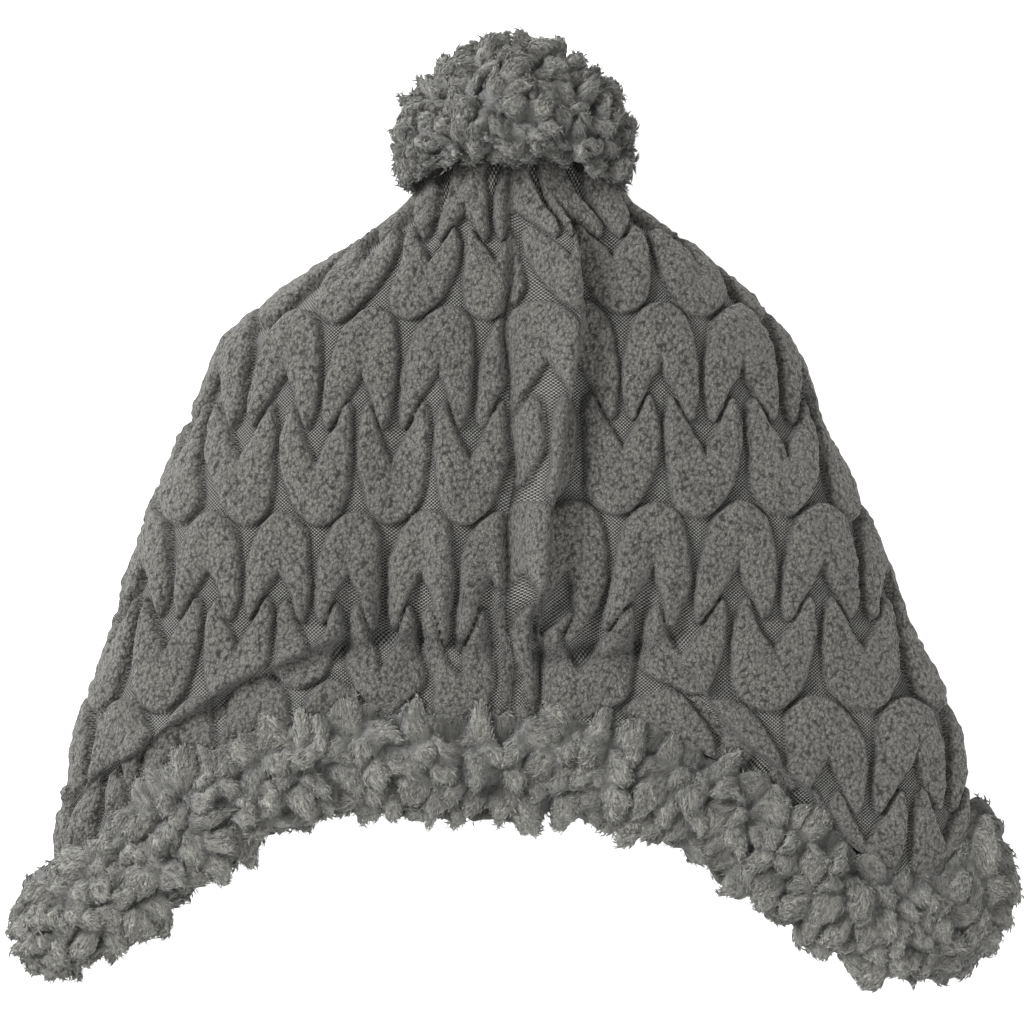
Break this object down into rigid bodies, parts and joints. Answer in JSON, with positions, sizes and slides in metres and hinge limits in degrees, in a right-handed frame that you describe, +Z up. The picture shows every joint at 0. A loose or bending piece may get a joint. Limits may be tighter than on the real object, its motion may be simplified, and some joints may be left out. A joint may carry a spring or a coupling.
{
  "type": "baby hat with ear flaps",
  "caption": "Soft padded baby hat lying flat, with raised leaf relief, a gathered nape, drooping ear flaps edged in curly plush, and a plush pompom.",
  "frame": {"origin": "on the surface that the hat lies on, under the middle of its box", "axes": "+X along the width, towards the flap at the picture's right; +Y towards the pompom; +Z up, from the forehead layer to the back layer"},
  "size_m": [0.2688, 0.255, 0.0623],
  "materials": {
    "fleece": "matt, fuzzy grey fleece",
    "plush": "matt, curly grey plush"
  },
  "bodies": {
    "root": {"left_panel": "fleece", "right_panel": "fleece", "plush_border": "plush", "pompom": "plush"}
  },
  "joints": []
}
